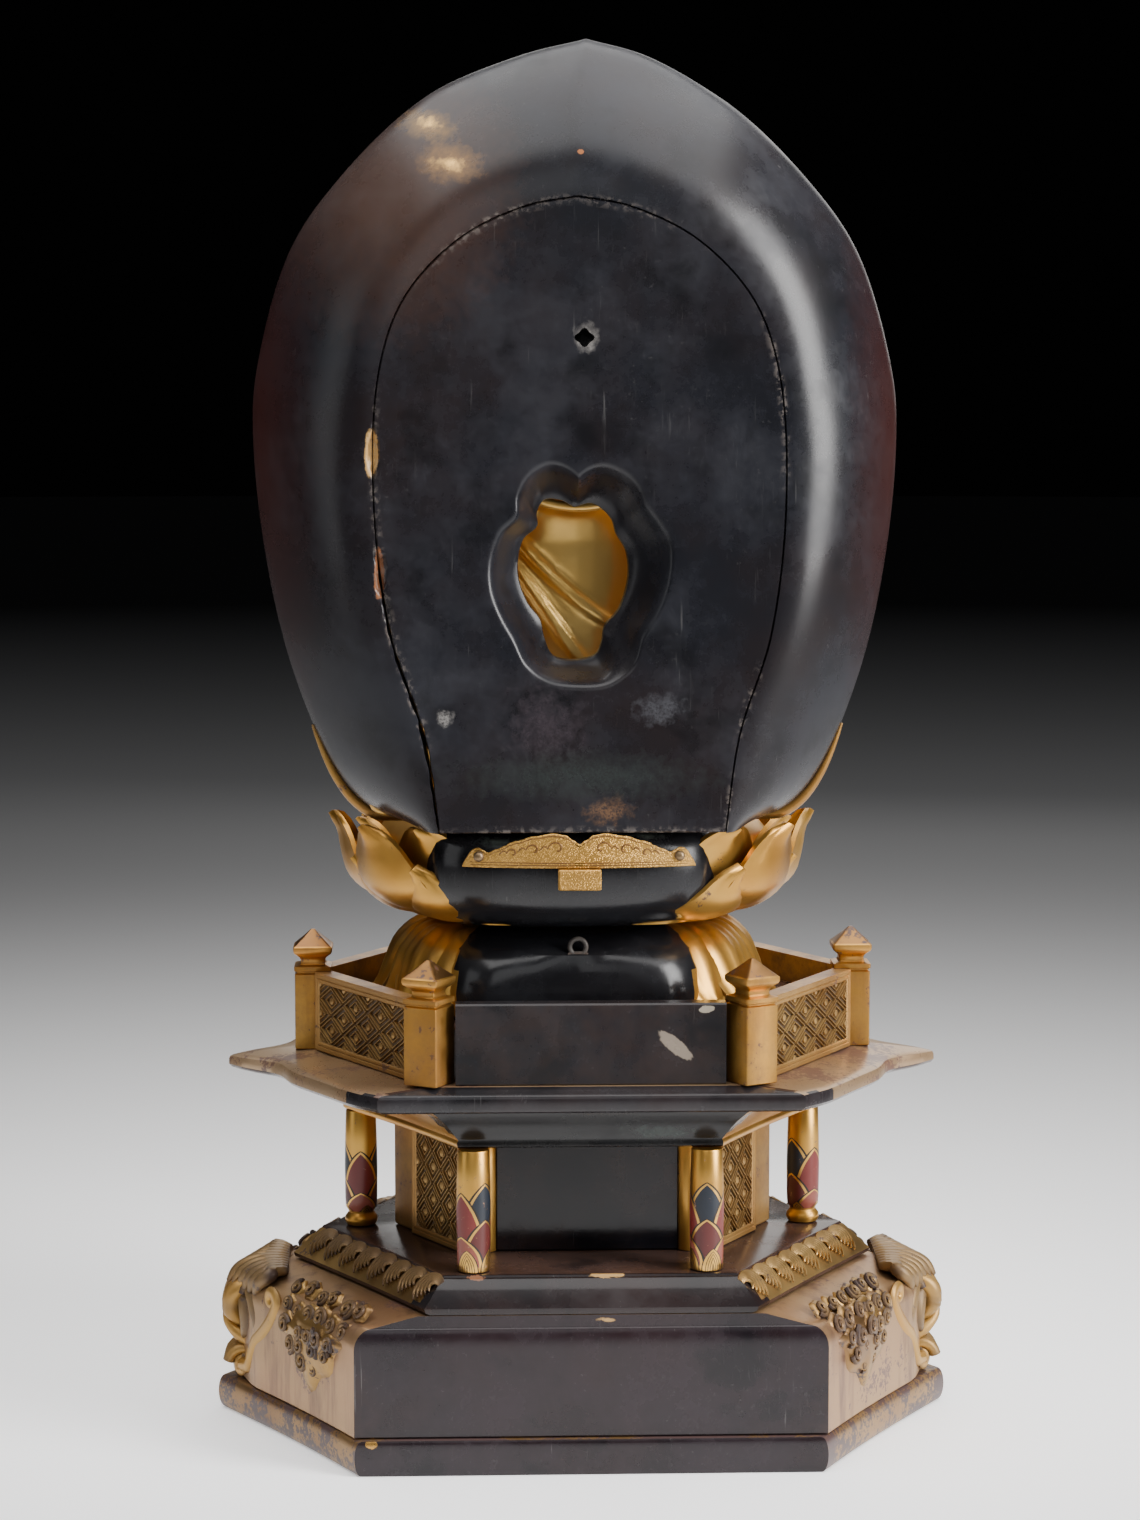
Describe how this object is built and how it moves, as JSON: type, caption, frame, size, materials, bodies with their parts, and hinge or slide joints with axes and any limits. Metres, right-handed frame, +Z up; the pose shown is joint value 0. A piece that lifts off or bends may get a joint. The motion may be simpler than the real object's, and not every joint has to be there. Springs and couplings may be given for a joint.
{
  "type": "altar figure on a lotus throne and railed dais",
  "caption": "Gilt seated altar figure before a boat-shaped black-lacquered halo, on a lotus throne and a six-sided railed dais whose back is cut off flat and left plain.",
  "frame": {"origin": "Middle of the six-sided underside, on the surface that it stands on.", "axes": "+Z up, the figure faces -Y, the plain lacquered back faces +Y, +X is to the figure's left."},
  "size_m": [0.38, 0.2897, 0.699],
  "materials": {
    "black_lacquer": "aged black lacquer over wood, scuffed, red-brown where it is rubbed thin",
    "brown_lacquer": "dark lacquer with gilding rubbed through to a brown sheen",
    "gilding": "gold leaf over dark lacquer, worn on edges, with small losses",
    "worn_gilding": "worn and dusty gold leaf over carved wood",
    "dusty_gilding": "dull pale gilding with dust in the lattice",
    "painted_gilding": "gilt above, painted lotus petals in dark red and blue-green below",
    "gilt_metal": "engraved and stippled gilt sheet metal",
    "dark_iron": "dark iron"
  },
  "bodies": {
    "root": {"base_moulding": "worn_gilding", "base_body": "worn_gilding", "base_leaf_step": "brown_lacquer", "core_drum": "black_lacquer", "core_pilaster_1": "gilding", "core_pilaster_2": "gilding", "core_panel_1": "dusty_gilding", "core_panel_2": "dusty_gilding", "core_panel_3": "dusty_gilding", "core_panel_4": "dusty_gilding", "core_panel_5": "dusty_gilding", "column_1": "painted_gilding", "column_2": "painted_gilding", "column_3": "painted_gilding", "column_4": "painted_gilding", "column_5": "painted_gilding", "column_6": "painted_gilding", "dais_lower_slab": "worn_gilding", "dais_eave_plate": "brown_lacquer", "platform_floor": "brown_lacquer", "rail_post_1": "gilding", "rail_post_2": "gilding", "rail_post_3": "gilding", "rail_post_4": "gilding", "rail_post_5": "gilding", "rail_post_6": "gilding", "rail_panel_1": "dusty_gilding", "rail_panel_2": "dusty_gilding", "rail_panel_3": "dusty_gilding", "rail_panel_4": "dusty_gilding", "rail_panel_5": "dusty_gilding", "rail_back_panel": "black_lacquer", "reversed_lotus": "gilding", "iron_eye": "dark_iron", "lotus_throne": "gilding", "brace_plate": "gilt_metal", "brace_nail_1": "dark_iron", "brace_nail_2": "dark_iron", "brace_tongue": "gilt_metal", "halo_rim": "black_lacquer", "halo_board": "black_lacquer", "seated_figure": "gilding"}
  },
  "joints": []
}
